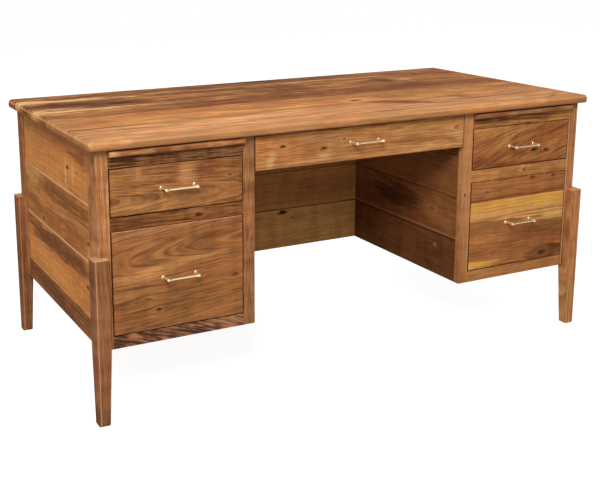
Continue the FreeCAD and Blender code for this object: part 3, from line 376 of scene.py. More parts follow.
# Each piece's own figure, as the boards were chosen for it
woodLooks = {
    "top_slab": dict(
        axes="xyz", face=775, seed=1, heart=(-300, 1900), pithDepth=-1500, level=-0.22, ringGap=24,
        ringDepth=0.8, streakWidth=42, streakLength=260, streak=2.1, fibreWidth=8, fibreLength=150,
        fibre=2.9, curl=0.6, wander=16, ripple=6, feather=5.0,
        boards=[
            (-402, "fawn", "peach"), (-219, "warm", "gold"), (-26, "umber", "warm"), (75, "umber", "honey"),
            (272, "umber", "tan"), (330, "umber", "tan"),
        ],
        knots=[(119, -140, 13, 0.95)],
        patches=[
            (620, 120, 420, 320, 0, "warm", 0.5), (-880, -190, 110, 230, 0, "fawn", 0.9),
            (-790, 286, 330, 32, -1, "butter", 1.0), (0, 300, 560, 14, 0, "pale", 0.5),
            (-700, 190, 230, 54, -3, "plum", 0.9), (-640, 176, 110, 34, -8, "sepia", 0.6),
            (-760, 206, 90, 26, 4, "sepia", 0.5), (-860, 98, 270, 40, -4, "butter", 1.0),
            (-520, 100, 200, 10, 0, "pale", 0.5), (-640, 30, 190, 34, 0, "honey", 0.6),
            (-330, 0, 160, 22, 1, "russet", 0.8), (470, 60, 110, 66, 0, "plum", 0.6),
            (450, 214, 46, 44, 0, "umber", 0.9), (540, 190, 38, 44, 10, "peach", 0.5),
            (290, -110, 130, 60, 0, "olive", 0.3), (226, -222, 130, 34, -31, "russet", 0.95),
            (465, -225, 50, 28, -30, "umber", 0.6), (740, -345, 60, 12, 36, "brown", 0.6),
            (-700, -215, 150, 10, 0, "russet", 0.7), (-720, -262, 130, 10, -2, "russet", 0.7),
            (-330, -255, 160, 9, 4, "pale", 0.6), (-250, -300, 160, 7, 3, "russet", 0.6),
            (100, -340, 240, 7, 0, "russet", 0.6), (560, -265, 180, 9, 2, "russet", 0.7),
            (20, 390, 110, 30, 0, "deep", 1.0), (600, 380, 240, 30, 0, "rose", 0.5),
            (-500, -330, 260, 8, -1, "pale", 0.5), (300, -372, 220, 8, 0, "pale", 0.6),
            (560, -398, 300, 12, 0, "copper", 0.5),
        ],
        arrises=[
            ("Y", 75, 3.5, 1.2, "umber"), ("Y", 345, 3.5, 1.2, "deep"), ("Y", -219, 3, 0.8, "brown"),
            # painted shade on the lower half of the top's edge, and a painted highlight along its upper
            # round-over
            ("Z", 749, 14, 1.3, "warm"), ("Z", 769, 4, 1.0, "peach"),
        ],
    ),
    "upper_left_drawer_front": dict(
        face=-378.5, seed=2, heart=(-900, 606), lean=0.08, level=-0.11, ringGap=9, ringDepth=0.38,
        cloud=0.7, streak=0.85, fibre=2.3,
        boards=[(0, "taupe", "honey")],
        knots=[(-436, 648, 4, 0.7)],
        patches=[
            (-560, 668, 32, 28, 0, "peach", 0.5), (-698, 678, 8, 14, 0, "gold", 0.4),
            (-466, 674, 75, 17, 2, "russet", 0.35), (-640, 596, 150, 10, 2, "gold", 0.5),
            (-560, 612, 60, 8, -8, "umber", 0.4), (-480, 590, 90, 12, 3, "tan", 0.4),
        ],
    ),
    "lower_left_drawer_front": dict(
        face=-378.5, seed=3, heart=(-280, 478), lean=-0.09, turn=5, ringDepth=0.75, cloud=0.8,
        boards=[(0, "taupe", "tan")],
        knots=[(-683, 326, 7, 0.4), (-651, 296, 5, 0.95), (-420, 362, 7, 0.6)],
        patches=[
            (-560, 310, 170, 50, 3, "olive", 0.5), (-480, 486, 70, 14, 4, "umber", 0.5),
            (-590, 414, 200, 9, 4.6, "gold", 0.6), (-680, 393, 80, 14, 6, "gold", 0.5),
            (-690, 364, 110, 6, -3, "umber", 0.6), (-640, 515, 140, 8, 3, "rose", 0.5),
        ],
        # a painted highlight along the front's top arris
        arrises=[("Z", 528, 2.2, 1.1, "pale")],
    ),
    "upper_right_drawer_front": dict(
        face=-378.5, seed=4, heart=(120, 360), turn=15, ringGap=12, ringDepth=0.6, cloud=0.8, streak=0.9,
        boards=[(0, "russet", "honey")],
        knots=[(640, 610, 8, 0.95), (690, 604, 9, 0.8)],
        patches=[
            (700, 668, 110, 20, 4, "russet", 0.5), (540, 655, 90, 8, 30, "gold", 0.6),
            (430, 648, 60, 14, 8, "russet", 0.5), (440, 692, 90, 5, 2, "gold", 0.7),
            (430, 590, 60, 14, 0, "umber", 0.6), (645, 588, 60, 10, 0, "tan", 0.8),
            (560, 575, 200, 7, 0, "umber", 0.5),
        ],
    ),
    "lower_right_drawer_front": dict(
        face=-378.5, seed=5, heart=(500, 900), streak=0.9,
        boards=[
            (0, "brown", "tan"), (401, "honey", "wheat"), (424, "honey", "amber"), (462, "russet", "tan"),
        ],
        knots=[(461, 490, 5, 0.6), (697, 262, 9, 0.8), (642, 519, 6, 0.7), (729, 519, 6, 0.7)],
        patches=[
            (760, 387, 135, 15, -2, "wheat", 1.0), (600, 397, 200, 3, -1, "wheat", 0.8),
            (390, 256, 140, 13, 2, "amber", 0.85), (720, 262, 100, 20, 2, "deep", 0.7),
            (455, 500, 22, 26, 20, "tan", 0.7), (600, 410, 400, 2, 1, "umber", 0.6),
            (460, 338, 90, 18, 2, "copper", 0.35), (680, 340, 110, 26, 0, "umber", 0.4),
            (600, 472, 260, 7, 1, "russet", 0.7),
        ],
    ),
    "centre_drawer_front": dict(
        face=-378.5, seed=6, heart=(0, 560), level=-0.1, ringGap=12, ringDepth=0.8, cloud=0.3, streak=1.2,
        fibre=3.4,
        boards=[(0, "warm", "gold")],
        knots=[(-271, 707, 6, 0.85), (-138, 690, 7, 0.75), (-71, 711, 3, 0.95), (329, 712, 7, 0.5)],
        patches=[
            (250, 700, 220, 60, 0, "gold", 0.4), (-200, 690, 130, 60, 0, "warm", 0.4),
            (-306, 672, 14, 30, -20, "pale", 0.55), (-136, 676, 20, 12, 0, "pale", 0.45),
            # the umber band along the top edge at 745 is a painted shadow of the top's overhang
            (345, 690, 50, 16, 0, "pale", 0.5), (0, 745, 500, 8, 0, "umber", 0.8),
            (-120, 716, 170, 10, -2, "rose", 0.6), (160, 684, 200, 6, -1, "brown", 0.5),
            (-160, 662, 140, 6, 1, "peach", 0.5), (240, 662, 160, 9, 0, "peach", 0.5),
        ],
    ),
    "left_side_panel": dict(
        axes="yzx", face=-813, seed=7, heart=(900, 340), level=0.2, ringGap=16, ringDepth=0.4,
        streakWidth=26, streak=1.0, fibreWidth=5, fibre=1.1, curl=0.5,
        boards=[(0, "brown", "copper"), (429, "umber", "copper"), (590, "warm", "copper")],
        knots=[
            (-128, 656, 8, 0.9), (-214, 656, 5, 0.6), (-92, 622, 6, 0.4), (-273, 350, 8, 0.85),
            (-72, 459, 7, 0.5), (138, 444, 8, 0.8), (-290, 478, 7, 0.8),
        ],
        patches=[
            (0, 716, 520, 24, 0, "russet", 0.25), (-250, 690, 80, 26, 0, "umber", 0.6),
            (-80, 556, 330, 34, 0, "umber", 0.7), (285, 562, 150, 34, 0, "gold", 1.0),
            (330, 536, 40, 8, 0, "umber", 0.8), (0, 398, 520, 36, 0, "umber", 0.9),
            (-175, 640, 12, 34, 0, "peach", 0.9), (-106, 630, 11, 32, 0, "peach", 0.9),
            (0, 505, 420, 12, 0, "rose", 0.5), (0, 460, 500, 44, 0, "brown", 0.75),
            (-290, 455, 20, 20, 0, "gold", 0.5), (100, 320, 300, 30, 0, "copper", 0.4),
            (-60, 462, 30, 14, 0, "tan", 0.6),
        ],
        # painted highlights along the seams and the rail's top arris, where the upper edges catch the light
        arrises=[("Z", 588, 4, 1.8, "pale"), ("Z", 427.5, 4, 1.8, "pale"), ("Z", 270, 4, 1.5, "pale")],
    ),
    "right_side_panel": dict(
        axes="yzx", face=813, seed=27, heart=(-900, 520), ringGap=12, cloud=1.8,
        boards=[(0, "brown", "honey"), (429, "umber", "honey"), (590, "brown", "gold")],
        knots=[(110, 640, 9, 0.9), (-180, 395, 8, 0.9)],
        patches=[
            (80, 470, 420, 22, 1, "russet", 0.7), (-120, 660, 300, 22, -1, "umber", 0.7),
            (0, 300, 520, 16, 0, "straw", 0.8),
        ],
        # painted highlights along the seams, where the upper edges catch the light
        arrises=[("Z", 587, 2.6, 1.6, "pale"), ("Z", 426.5, 2.6, 1.6, "pale")],
    ),
    "side_rail": dict(
        axes="yzx", face=-816, seed=8, cloud=2.4,
        boards=[(0, "umber", "tan")],
    ),
    "left_board_rail": dict(
        face=-378.5, seed=19, level=-0.15, streakWidth=12, curl=1.2,
        boards=[(0, "deep", "fawn")],
    ),
    "left_middle_rail": dict(
        face=-378.5, seed=9,
        boards=[(0, "deep", "warm")],
        knots=[(-529, 545, 7, 0.9)],
        patches=[(-536, 556, 26, 8, 0, "rose", 0.5)],
    ),
    "left_bottom_rail": dict(
        face=-378.5, seed=29, turn=-20, level=-0.3, cloud=2.0, streakWidth=7, streakLength=45, streak=2.6,
        curl=1.6,
        boards=[(0, "dusk", "rose")],
    ),
    "right_board_rail": dict(
        face=-378.5, seed=39, streakWidth=12, streak=1.8,
        patches=[(560, 718, 200, 4, -2, "deep", 0.7)],
    ),
    "right_rails": dict(
        face=-378.5, seed=10, ringDepth=0.6, streak=1.0,
        boards=[(0, "warm", "gold")],
        knots=[(604, 549, 5, 0.7)],
        patches=[(596, 556, 16, 8, 40, "pale", 0.5)],
    ),
    "left_stile": dict(
        axes="zxy", face=-378.5, seed=11, heart=(0, 200), level=-0.12, ringDepth=0.25, streakWidth=14,
        streak=0.6, fibre=1.2,
        boards=[(0, "taupe", "peach")],
        patches=[(466, -382, 26, 5, 0, "umber", 0.5), (474, -372, 14, 3, 20, "pale", 0.5)],
    ),
    "right_stile": dict(
        axes="zxy", face=-378.5, seed=12, heart=(0, -200), level=-0.1, ringDepth=0.25, streakWidth=14,
        streak=0.6, fibre=1.2,
        boards=[(0, "warm", "peach")],
        knots=[(492, 372, 4, 0.9)],
    ),
    "left_posts": dict(
        axes="zxy", face=-378.5, seed=18, heart=(0, 200), level=-0.14, ringDepth=0.5, streakWidth=8,
        streak=0.9, fibre=1.6,
        boards=[(0, "brown", "peach")],
    ),
    "right_posts": dict(
        axes="zxy", face=-378.5, seed=20, heart=(0, -200), level=-0.1, ringDepth=0.5, streakWidth=9,
        streak=0.9, fibre=1.6,
        boards=[(0, "taupe", "peach")],
        # a painted highlight along the post's inner arris
        arrises=[("X", 784, 2.2, 1.4, "pale")],
    ),
    "right_leg": dict(
        axes="zxy", face=-398.5, seed=21, heart=(0, 300), streakWidth=10,
        boards=[(0, "warm", "peach")],
        # a painted highlight on the leg's top rim
        arrises=[("Z", 464, 3.5, 1.4, "pale")],
    ),
    "left_leg": dict(
        axes="zxy", face=-398.5, seed=13, heart=(0, 300), level=-0.12, ringDepth=0.5, streakWidth=10,
        streak=1.0, fibre=1.6,
        boards=[(0, "taupe", "rose")],
        # painted highlights on the leg's top rim and along its outer front arris
        arrises=[("Z", 464, 3.5, 1.4, "pale"), ("X", -830.5, 2.4, 1.5, "peach")],
    ),
    "right_kneehole_panel": dict(
        axes="yzx", face=360, seed=14, heart=(200, 900), level=0.06, ringDepth=0.5, streak=0.7, fibre=1.5,
        boards=[
            (0, "deep", "brown"), (345, "umber", "warm"), (478, "umber", "warm"), (614, "deep", "warm"),
        ],
        knots=[(-234, 418, 7, 0.5)],
        patches=[
            (-20, 422, 150, 42, 0, "sepia", 0.8), (-270, 400, 90, 40, 0, "tan", 0.5),
            (-100, 540, 260, 14, 4, "olive", 0.5), (0, 655, 400, 14, 0, "deep", 0.5),
            (-255, 303, 10, 12, 0, "tan", 0.6),
        ],
        arrises=[
            # the rose line is a painted highlight on the seam's arris; the dark lines are glue lines
            ("Z", 349, 5, 1.2, "rose"), ("Z", 341, 5, 1.4, "deep"), ("Z", 478, 2.5, 1.2, "deep"),
            ("Z", 614, 2.5, 1.2, "deep"),
        ],
    ),
    "left_kneehole_panel": dict(
        axes="yzx", face=-360, seed=24, heart=(-300, 900),
        boards=[(0, "umber", "tan"), (345, "umber", "honey"), (478, "brown", "tan"), (614, "umber", "tan")],
        knots=[(60, 520, 8, 0.9)],
        patches=[(-60, 560, 260, 20, 0, "russet", 0.7), (100, 300, 220, 16, 0, "straw", 0.6)],
    ),
    "modesty_panel": dict(
        face=219.5, seed=15, heart=(-900, 560), lean=0.04, ringGap=12, ringDepth=0.35, streak=0.9,
        fibre=1.6,
        boards=[(0, "warm", "wheat"), (345, "warm", "gold"), (478, "warm", "gold"), (614, "warm", "gold")],
        knots=[(58, 332, 11, 1.0), (96, 309, 4, 0.95)],
        arrises=[
            ("Z", 345, 2.5, 1.6, "umber"), ("Z", 478, 2.5, 1.2, "umber"), ("Z", 614, 2.5, 1.2, "umber"),
        ],
    ),
    "back_panels": dict(
        face=385.5, seed=35, heart=(300, 300), lean=0.08,
        boards=[(0, "umber", "honey"), (429, "brown", "tan"), (590, "umber", "honey")],
        knots=[(-620, 640, 9, 0.9), (500, 480, 8, 0.9)],
        patches=[
            (-560, 500, 200, 18, 1, "russet", 0.7), (540, 650, 160, 20, -1, "umber", 0.7),
            (640, 330, 240, 14, 0, "straw", 0.7),
        ],
    ),
    "left_pullout_board": dict(
        axes="xyz", face=747, seed=16, heart=(0, 300), level=-0.1, ringDepth=0.4, cloud=0.5, streak=0.6,
        curl=0.3,
        boards=[(0, "brown", "peach")],
        # the pale patch is a painted highlight on the left end of the board's nose
        patches=[(-790, -395, 40, 14, 0, "pale", 0.5)],
    ),
    "right_pullout_board": dict(
        axes="xyz", face=747, seed=17, heart=(0, 300), ringDepth=0.4, cloud=0.5, streak=0.6, curl=0.3,
        boards=[(0, "brown", "rose")],
    ),
    "maple_guides": dict(
        axes="yzx", seed=50, roughness=0.5, gloss=0.2,
        boards=[(0, "biscuit", "cream")],
    ),
    "maple_bottoms": dict(
        axes="xyz", seed=51, roughness=0.5, gloss=0.2,
        boards=[(0, "biscuit", "cream")],
    ),
}

# Nodes that share a look with their like; every other node has a look of its own name
looksByNode = {
    "board_guides": "maple_guides",
    "slide_battens": "maple_guides",
}
for name in nodes:
    if name in woodLooks:
        looksByNode[name] = name
for side in ("left", "right"):
    looksByNode[f"{side}_pedestal_bottom"] = "maple_bottoms"
    looksByNode[f"{side}_back_panel"] = "back_panels"
    looksByNode[f"{side}_side_rail"] = "side_rail"
    looksByNode[f"{side}_inner_stile"] = f"{side}_stile"
    for end in ("front", "back"):
        looksByNode[f"{end}_{side}_post"] = f"{side}_posts"
        looksByNode[f"{end}_{side}_leg"] = f"{side}_leg"
for rail in ("bottom_rail", "middle_rail"):
    looksByNode[f"right_{rail}"] = "right_rails"

# The ends of a drawer front are end grain, which drinks more oil and is darker, and its ends and lower edge
# are darkened further with painted shade in the gaps around it
endGrainAndGapShade = {
    "halfWidth": 1.8,
    "strength": 2.2,
    "shade": "sepia",
}
for name in nodes:
    if name.endswith("_drawer_front"):
        low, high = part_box(name)
        for way, place in (("X", low[0]), ("X", high[0]), ("Z", low[2])):
            rim = (way, place / mm, endGrainAndGapShade["halfWidth"], endGrainAndGapShade["strength"], endGrainAndGapShade["shade"])
            woodLooks[name].setdefault("arrises", []).append(rim)

madeLooks = {}
for name, look in looksByNode.items():
    if look not in madeLooks:
        prefix = "planed_" if look.startswith("maple") else "oiled_walnut_"
        madeLooks[look] = woodMaterial(prefix + look, **woodLooks[look])
    for slot in nodes[name].material_slots:
        slot.material = madeLooks[look]
print("walnut finished")

# The metals of the pulls and slides, with a darker and a lighter shade, and the repeats of their cloud or
# rolled grain per metre
metals = {
    # Solid brass, turned and satin brushed, lacquered: pale champagne with a broad soft highlight
    "satin_brass": {
        "shades": ("#DFC696", "#F4E2BC"),
        "repeats": (240, 240, 240),
        "detail": 3,
        "roughness": (0.26, 0.34),
        "metallic": 0.65,
    },
    # Cold rolled steel, zinc plated: cool grey with a fine rolled grain
    "zinc_plated_steel": {
        "shades": ("#8E9294", "#A9ACAD"),
        "repeats": (900, 12, 900),
        "detail": 2,
        "roughness": (0.3, 0.45),
        "metallic": 1.0,
    },
}


def metalMaterial(name):
    metal = metals[name]
    dark, light = (toLinear(shade) for shade in metal["shades"])
    smooth, rough = metal["roughness"]
    material, tree = newMaterial(name)
    objectSpace = addNode(tree, "TexCoord").outputs["Object"]
    stretched = addNode(tree, "Mapping", {"Vector": objectSpace, "Scale": metal["repeats"]}).outputs[0]
    cloud = addNode(tree, "TexNoise", {"Vector": stretched, "Scale": 1,
                                       "Detail": metal["detail"]}).outputs[0]
    colour = addNode(tree, "Mix", {0: cloud, 6: dark, 7: light}, data_type="RGBA").outputs[2]
    shader = addNode(tree, "BsdfPrincipled", {
        "Base Color": colour,
        "Metallic": metal["metallic"],
        "Roughness": addNode(tree, "MapRange", {0: cloud, 3: smooth, 4: rough}).outputs[0],
    })
    addNode(tree, "OutputMaterial", {"Surface": shader.outputs[0]})
    return material


brass = metalMaterial("satin_brass")
zinc = metalMaterial("zinc_plated_steel")
for name, node in nodes.items():
    if "slide" in name and name != "slide_battens":
        for slot in node.material_slots:
            slot.material = zinc
print("metals finished")


# A new piece rides on its drawer and stands for the CAD node there; sharpAngle is in degrees
def addPiece(name, mesh, material, body, node, sharpAngle):
    bmesh.ops.recalc_face_normals(mesh, faces=mesh.faces)
    data = bpy.data.meshes.new(name)
    mesh.to_mesh(data)
    mesh.free()
    data.materials.append(material)
    data.shade_smooth()
    data.set_sharp_from_angle(angle=math.radians(sharpAngle))
    piece = bpy.data.objects.new(name, data)
    bpy.context.scene.collection.objects.link(piece)
    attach(piece, body)
    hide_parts(node)


# Draws a round bar out along Z through stations of (distance, radius, sideways) in millimetres, with both
# ends closed
def drawOut(mesh, stations, place, sides):
    distance, radius, sideways = (size * mm for size in stations[0])
    start = bmesh.ops.create_circle(mesh, cap_ends=True, radius=radius, segments=sides,
                                    matrix=Matrix.Translation((sideways, 0, distance)))["verts"]
    drawn = list(start)
    face = start[0].link_faces[0]
    for station in stations[1:]:
        centre = Vector((sideways, 0, distance))
        nextDistance, nextRadius, nextSideways = (size * mm for size in station)
        grown = bmesh.ops.extrude_face_region(mesh, geom=[face])["geom"]
        ring = [part for part in grown if isinstance(part, bmesh.types.BMVert)]
        face = next(part for part in grown if isinstance(part, bmesh.types.BMFace))
        bmesh.ops.scale(mesh, vec=(nextRadius / radius,) * 3, space=Matrix.Translation(-centre), verts=ring)
        bmesh.ops.translate(mesh, vec=Vector((nextSideways, 0, nextDistance)) - centre, verts=ring)
        distance, radius, sideways = nextDistance, nextRadius, nextSideways
        drawn += ring
    bmesh.ops.transform(mesh, matrix=place, verts=drawn)


# Each leg of a pull leans in from its foot to a ball, and the bar swells into a collar there.
# Stations give the distance, the radius and for a leg how far it has leaned, in millimetres.
pull = {
    "centres": 96,
    "reach": 34,
    "barOut": 29.4,
    "lean": 3,
    "leg": [
        (0, 5.3, 0), (0.5, 5.7, 0), (1.1, 5.8, 0), (1.8, 5.6, 0), (2.5, 5.0, 0), (3, 4.3, 0),
        (4.2, 3.9, 0.15), (7, 3.45, 0.5), (11, 3.1, 0.95), (16, 3.0, 1.5), (21, 3.15, 2.1),
        (25.5, 3.5, 2.6), (29.4, 3.8, 3),
    ],
    "barEnd": [
        (-4.6, 0.4), (-4.45, 1.2), (-3.9, 2.4), (-3.0, 3.5), (-1.6, 4.3), (0, 4.6), (1.6, 4.35),
        (3.2, 3.85), (5.2, 3.4), (7.6, 3.0), (10, 2.7), (14, 2.6),
    ],
    "screw": [
        (-6.3, 1.7, 0), (-5.8, 2, 0), (33, 2, 0), (33, 4, 0), (33.7, 4, 0), (34.6, 3.6, 0),
        (35.3, 2.7, 0), (35.3, 1.6, 0), (34, 1.4, 0),
    ],
    "sides": 28,
}


def makePull(drawer):
    node = drawer + "_pull"
    low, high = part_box(node)
    middle = Vector(((low[0] + high[0]) / 2, low[1] + pull["reach"] * mm, (low[2] + high[2]) / 2))
    outward = Matrix.Rotation(math.radians(90), 4, "X")
    inward = Matrix.Rotation(math.radians(-90), 4, "X")
    sideways = Matrix.Rotation(math.radians(90), 4, "Y")
    handle = bmesh.new()
    screws = bmesh.new()
    for hand in (-1, 1):
        foot = Matrix.Translation(middle + Vector((hand * pull["centres"] / 2 * mm, 0, 0)))
        leg = [(out, radius, -hand * leaned) for out, radius, leaned in pull["leg"]]
        drawOut(handle, leg, foot @ outward, pull["sides"])
        drawOut(screws, pull["screw"], foot @ inward, pull["sides"])
    halfBar = pull["centres"] / 2 - pull["lean"]
    left = [(place - halfBar, radius, 0) for place, radius in pull["barEnd"]]
    right = [(-place, radius, 0) for place, radius, _ in reversed(left)]
    barAxis = Matrix.Translation(middle - Vector((0, pull["barOut"] * mm, 0)))
    drawOut(handle, left + right, barAxis @ sideways, pull["sides"])
    addPiece(drawer + "_handle", handle, brass, drawer, node, sharpAngle=50)
    addPiece(drawer + "_pull_screws", screws, zinc, drawer, node, sharpAngle=35)


# Drawer boxes in 13 mm maple, the sides dovetailed to the inner front and back, on a 6 mm floor of birch
# plywood. The sizes are in millimetres.
drawerBox = {
    "wall": 13,
    "floorTop": 15.2,
    "ease": 1.2,
    "pinSpacing": 24,
    "pinTip": 5,
    "pinSlope": 0.16,
    "endGrain": {"colour": "#B9935F", "strength": 0.75, "edge": 0.2},
    "jointLine": {"colour": "#7A5A36", "strength": 0.6, "from": 0.1, "to": 0.7},
    "firstSeed": 40,
}
lacqueredMaple = {
    "boards": [(0, "biscuit", "cream")],
    "ringDepth": 0.3,
    "roughness": 0.45,
    "gloss": 0.25,
}


# Hard maple, planed and lacquered; the pins of the dovetails show their darker end grain on the drawer's
# sides
def boxMaterial(name, low, high, seed):
    endGrain, jointLine = drawerBox["endGrain"], drawerBox["jointLine"]
    material = woodMaterial(name, axes="yzx", seed=seed, **lacqueredMaple)
    tree = material.node_tree
    shader = next(node for node in tree.nodes if node.type == "BSDF_PRINCIPLED")
    plain = shader.inputs["Base Color"].links[0].from_socket
    split = addNode(tree, "SeparateXYZ", {0: addNode(tree, "TexCoord").outputs["Object"]}).outputs
    fromFront = addNode(tree, "Math", {0: split[1], 1: low[1]}, operation="SUBTRACT").outputs[0]
    fromBack = addNode(tree, "Math", {0: high[1], 1: split[1]}, operation="SUBTRACT").outputs[0]
    fromEnd = addNode(tree, "Math", {0: fromFront, 1: fromBack}, operation="MINIMUM").outputs[0]
    count = round((high[2] - low[2]) / (drawerBox["pinSpacing"] * mm))
    spacing = (high[2] - low[2]) / count
    pins = addNode(tree, "Math", {0: split[2], 1: low[2]}, operation="SUBTRACT").outputs[0]
    pins = addNode(tree, "Math", {0: pins, 1: 1 / spacing}, operation="MULTIPLY").outputs[0]
    pins = addNode(tree, "Math", {0: pins}, operation="FRACT").outputs[0]
    pins = addNode(tree, "Math", {0: pins, 1: 0.5}, operation="SUBTRACT").outputs[0]
    pins = addNode(tree, "Math", {0: pins}, operation="ABSOLUTE").outputs[0]
    width = addNode(tree, "Math", {0: fromEnd, 1: drawerBox["pinSlope"], 2: drawerBox["pinTip"] * mm / 2},
                    operation="MULTIPLY_ADD").outputs[0]
    inside = addNode(tree, "Math", {0: pins, 1: -spacing, 2: width}, operation="MULTIPLY_ADD").outputs[0]
    reach = addNode(tree, "Math", {0: drawerBox["wall"] * mm, 1: fromEnd}, operation="SUBTRACT").outputs[0]
    inside = addNode(tree, "Math", {0: inside, 1: reach}, operation="MINIMUM").outputs[0]
    pinMask = addNode(tree, "MapRange", {0: inside, 1: 0.0, 2: endGrain["edge"] * mm,
                                         4: endGrain["strength"]}).outputs[0]
    joint = addNode(tree, "Math", {0: inside}, operation="ABSOLUTE").outputs[0]
    joint = addNode(tree, "MapRange", {0: joint, 1: jointLine["from"] * mm, 2: jointLine["to"] * mm,
                                       3: jointLine["strength"], 4: 0.0}).outputs[0]
    colour = addNode(tree, "Mix", {0: pinMask, 6: plain, 7: toLinear(endGrain["colour"])},
                     data_type="RGBA").outputs[2]
    colour = addNode(tree, "Mix", {0: joint, 6: colour, 7: toLinear(jointLine["colour"])},
                     data_type="RGBA").outputs[2]
    tree.links.new(colour, shader.inputs["Base Color"])
    return material


def addBoard(mesh, low, high):
    size = Vector(high) - Vector(low)
    place = Matrix.Translation(Vector(low) + size / 2) @ Matrix.Diagonal(size).to_4x4()
    verts = bmesh.ops.create_cube(mesh, size=1, matrix=place)["verts"]
    edges = list({edge for vert in verts for edge in vert.link_edges})
    bmesh.ops.bevel(mesh, geom=edges, offset=drawerBox["ease"] * mm, offset_type="OFFSET", affect="EDGES",
                    segments=2, profile=0.5, material=-1)


def makeBox(drawer, seed):
    node = drawer + "_box"
    (left, front, bottom), (right, back, top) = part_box(node)
    wall = drawerBox["wall"] * mm
    floorTop = bottom + drawerBox["floorTop"] * mm
    sides = bmesh.new()
    addBoard(sides, (left, front, bottom), (left + wall, back, top))
    addBoard(sides, (right - wall, front, bottom), (right, back, top))
    ends = bmesh.new()
    addBoard(ends, (left + wall, front, bottom), (right - wall, front + wall, top))
    addBoard(ends, (left + wall, back - wall, floorTop), (right - wall, back, top))
    sideMaterial = boxMaterial("lacquered_maple_" + drawer, (left, front, bottom), (right, back, top), seed)
    addPiece(drawer + "_box_sides", sides, sideMaterial, drawer, node, sharpAngle=40)
    addPiece(drawer + "_box_ends", ends, mapleEnds, drawer, node, sharpAngle=40)


mapleEnds = woodMaterial("lacquered_maple_ends", seed=60, **lacqueredMaple)
birch = woodMaterial("sanded_birch_plywood", axes="yxz", boards=[(0, "biscuit", "birch")], streakWidth=60,
                     heart=(0, 2500), roughness=0.5, gloss=0.2, seed=61, ringDepth=0.6)
drawers = [
    "upper_left_drawer", "lower_left_drawer", "upper_right_drawer", "lower_right_drawer",
    "centre_drawer",
]
for number, drawer in enumerate(drawers):
    makePull(drawer)
    makeBox(drawer, drawerBox["firstSeed"] + number)
    for slot in nodes[drawer + "_floor"].material_slots:
        slot.material = birch
print("drawers fitted")

# The room: a white floor that keeps the desk's shadow, lit by soft boxes and a pale sky. The sizes are in
# metres and the power is in watts.
room = {
    "floor": 9.0,
    "floorColour": "#AAAAAA",
    "floorGlow": 0.89,
    "skyColour": "#FFFFFF",
    "skyStrength": 0.44,
    "flag": {"place": (2.8, -3.6, 3.0), "size": (6.0, 8.0, 1), "colour": "#101010"},
    "softBoxes": {
        "key": {"place": (-2.4, -3.2, 3.4), "size": 1.6, "power": 170, "colour": "#FFF8F0"},
        "over": {"place": (0.4, 0.3, 3.6), "size": 2.8, "power": 40, "colour": "#FFFFFF"},
    },
    "aimedAt": (0, 0, 0.4),
}


# Is 1 where the eye, a reflection or a look through glass meets the floor or the sky, so that they look
# white there, and 0 where they light the desk, which they do more softly
def seenDirectly(tree):
    path = addNode(tree, "LightPath").outputs
    seen = addNode(tree, "Math", {0: path["Is Camera Ray"], 1: path["Is Glossy Ray"]},
                   operation="MAXIMUM").outputs[0]
    return addNode(tree, "Math", {0: seen, 1: path["Is Transmission Ray"]}, operation="MAXIMUM").outputs[0]


def flatSheet(name, halfSize, material):
    grid = bmesh.new()
    bmesh.ops.create_grid(grid, x_segments=1, y_segments=1, size=halfSize)
    mesh = bpy.data.meshes.new(name)
    grid.to_mesh(mesh)
    grid.free()
    mesh.materials.append(material)
    sheet = bpy.data.objects.new(name, mesh)
    bpy.context.scene.collection.objects.link(sheet)
    return sheet


def makeFloor():
    material, tree = newMaterial("matt_white_paper")
    seen = seenDirectly(tree)
    glow = addNode(tree, "Math", {0: seen, 1: room["floorGlow"]}, operation="MULTIPLY").outputs[0]
    matt = addNode(tree, "BsdfDiffuse", {"Color": toLinear(room["floorColour"])}).outputs[0]
    lit = addNode(tree, "Emission", {"Strength": glow}).outputs[0]
    both = addNode(tree, "AddShader", {0: matt, 1: lit}).outputs[0]
    addNode(tree, "OutputMaterial", {"Surface": both})
    floor = flatSheet("floor", room["floor"], material)


def makeSky():
    world = bpy.data.worlds.new("pale_room")
    bpy.context.scene.world = world
    world.use_nodes = True
    tree = world.node_tree
    tree.nodes.clear()
    seen = seenDirectly(tree)
    strength = addNode(tree, "MapRange", {0: seen, 3: room["skyStrength"], 4: 1.0}).outputs[0]
    sky = addNode(tree, "Background", {"Color": toLinear(room["skyColour"]),
                                       "Strength": strength}).outputs[0]
    addNode(tree, "OutputWorld", {"Surface": sky})


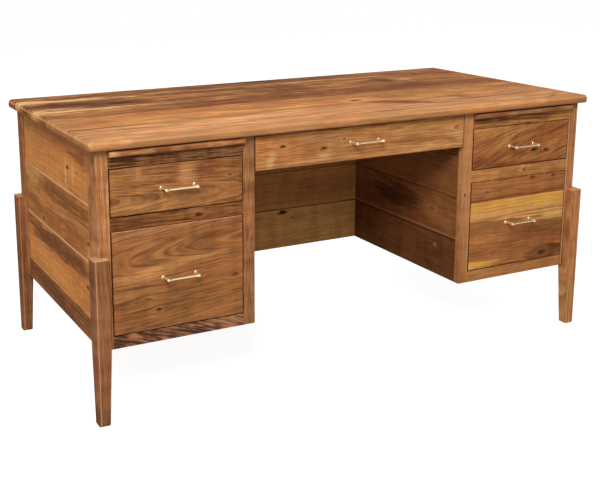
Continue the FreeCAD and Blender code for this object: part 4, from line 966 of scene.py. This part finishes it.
def makeSoftBoxes():
    for name, box in room["softBoxes"].items():
        lamp = bpy.data.lights.new(name, "AREA")
        lamp.size = box["size"]
        lamp.energy = box["power"]
        lamp.color = toLinear(box["colour"])[:3]
        lampObject = bpy.data.objects.new(name, lamp)
        lampObject.location = box["place"]
        aim = Vector(room["aimedAt"]) - lampObject.location
        lampObject.rotation_euler = aim.to_track_quat("-Z", "Y").to_euler()
        bpy.context.scene.collection.objects.link(lampObject)


# A black flag stands beside the desk, out of the picture, so that the pulls on the right show a dark side
def makeFlag():
    material, tree = newMaterial("black_felt")
    shader = addNode(tree, "BsdfDiffuse", {"Color": toLinear(room["flag"]["colour"])})
    addNode(tree, "OutputMaterial", {"Surface": shader.outputs[0]})
    flag = flatSheet("flag", 0.5, material)  # a metre square, which the flag's size then stretches
    flag.location, flag.scale = room["flag"]["place"], room["flag"]["size"]
    flag.rotation_euler = (0, math.radians(90), 0)
    flag.visible_camera = False
    flag.visible_diffuse = False
    flag.visible_shadow = False


makeFloor()
makeSky()
makeSoftBoxes()
makeFlag()
print("room lit")

# The photograph's view: the place is in metres, the angles in degrees and the lens in millimetres
cameraSettings = {
    "place": (-1.6166, -2.8147, 1.2781),
    "yaw": 26.462,
    "pitch": 12.655,
    "roll": -0.343,
    "lens": 61.4,
    "shift": (0.1, -0.14),
}


def makeCamera():
    yaw, pitch, roll = (math.radians(cameraSettings[angle]) for angle in ("yaw", "pitch", "roll"))
    ahead = Vector((math.sin(yaw) * math.cos(pitch), math.cos(yaw) * math.cos(pitch), -math.sin(pitch)))
    levelRight = Vector((math.cos(yaw), -math.sin(yaw), 0))
    levelUp = levelRight.cross(ahead)
    right = levelRight * math.cos(roll) + levelUp * math.sin(roll)
    up = levelUp * math.cos(roll) - levelRight * math.sin(roll)
    lens = bpy.data.cameras.new("camera")
    lens.lens = cameraSettings["lens"]
    lens.shift_x, lens.shift_y = cameraSettings["shift"]
    lens.dof.use_dof = False
    camera = bpy.data.objects.new("camera", lens)
    turn = Matrix((right, up, -ahead)).transposed().to_4x4()
    camera.matrix_world = Matrix.Translation(cameraSettings["place"]) @ turn
    bpy.context.scene.collection.objects.link(camera)
    bpy.context.scene.camera = camera


makeCamera()
bpy.context.scene.view_settings.view_transform = "Standard"
print("camera set")
